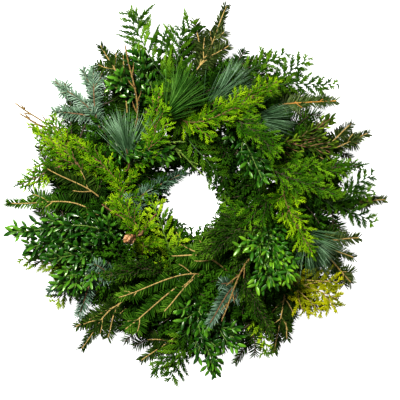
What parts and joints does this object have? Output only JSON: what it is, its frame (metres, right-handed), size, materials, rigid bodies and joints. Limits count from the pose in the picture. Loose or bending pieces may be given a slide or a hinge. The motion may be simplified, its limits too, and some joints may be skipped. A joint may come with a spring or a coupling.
{
  "type": "fresh evergreen wreath",
  "caption": "Round wreath of fresh mixed evergreen sprays on a two-rail wire ring: fir, white pine, cedar, cypress, juniper and boxwood round an open centre.",
  "frame": {"origin": "middle of the wreath's bounding box, on the plane that its back rests on", "axes": "+Z out of the wreath's front, as it lies on its back; +Y to its top in the picture"},
  "size_m": [0.6138, 0.6136, 0.1276],
  "materials": {
    "fir_needles": "matte",
    "silver_fir_needles": "matte",
    "pine_needles": "matte",
    "cedar_fronds": "matte",
    "golden_cedar_fronds": "matte",
    "cypress_sprays": "matte",
    "juniper_sprays": "matte",
    "boxwood_leaves": "satin",
    "bare_twigs": "matte",
    "cone_scales": "matte",
    "ring_wire": "satin"
  },
  "bodies": {
    "root": {"juniper_inner_low": "juniper_sprays", "boxwood_right_low": "boxwood_leaves", "white_pine_right_low": "pine_needles", "noble_fir_right_low": "fir_needles", "cypress_inner_right": "cypress_sprays", "lime_cypress_right_low": "cypress_sprays", "cedar_right": "cedar_fronds", "noble_fir_right": "fir_needles", "green_cypress_right_low": "cypress_sprays", "juniper_right_rim": "juniper_sprays", "olive_boxwood": "boxwood_leaves", "noble_fir_right_upper": "fir_needles", "boxwood_inner_right": "boxwood_leaves", "white_pine_right": "pine_needles", "cedar_top_left": "cedar_fronds", "bronze_fir": "fir_needles", "green_cypress_right": "cypress_sprays", "white_pine_top_right": "pine_needles", "cedar_top_right": "cedar_fronds", "cedar_top": "cedar_fronds", "cedar_inner_right": "cedar_fronds", "yellow_cypress_top_right": "cypress_sprays", "boxwood_top_left": "boxwood_leaves", "noble_fir_top": "fir_needles", "lime_twig_inner": "bare_twigs", "white_pine_top": "pine_needles", "brown_twig_top_left": "bare_twigs", "noble_fir_top_left": "fir_needles", "lime_cypress_top": "cypress_sprays", "white_pine_left": "pine_needles", "boxwood_inner_left": "boxwood_leaves", "silver_fir_left": "silver_fir_needles", "lime_cypress_left": "cypress_sprays", "noble_fir_left_upper": "fir_needles", "cypress_left": "cypress_sprays", "bare_twig_left": "bare_twigs", "silver_fir_inner": "silver_fir_needles", "boxwood_left": "boxwood_leaves", "boxwood_left_low": "boxwood_leaves", "noble_fir_left": "fir_needles", "cone_cypress": "cypress_sprays", "silver_fir_left_low": "silver_fir_needles", "cedar_left_low": "cedar_fronds", "lime_cedar_inner_left": "cedar_fronds", "juniper_left_low": "juniper_sprays", "noble_fir_bottom_left": "fir_needles", "noble_fir_bottom_inner": "fir_needles", "boxwood_bottom": "boxwood_leaves", "noble_fir_bottom": "fir_needles", "cedar_bottom": "cedar_fronds", "noble_fir_inner_low": "fir_needles", "silver_fir_bottom": "silver_fir_needles", "cedar_bottom_right": "cedar_fronds", "juniper_bottom_right": "juniper_sprays", "golden_twig_bottom": "bare_twigs", "golden_cedar": "golden_cedar_fronds", "noble_fir_bottom_right": "fir_needles", "cypress_cone": "cone_scales", "wire_ring": "ring_wire"}
  },
  "joints": []
}
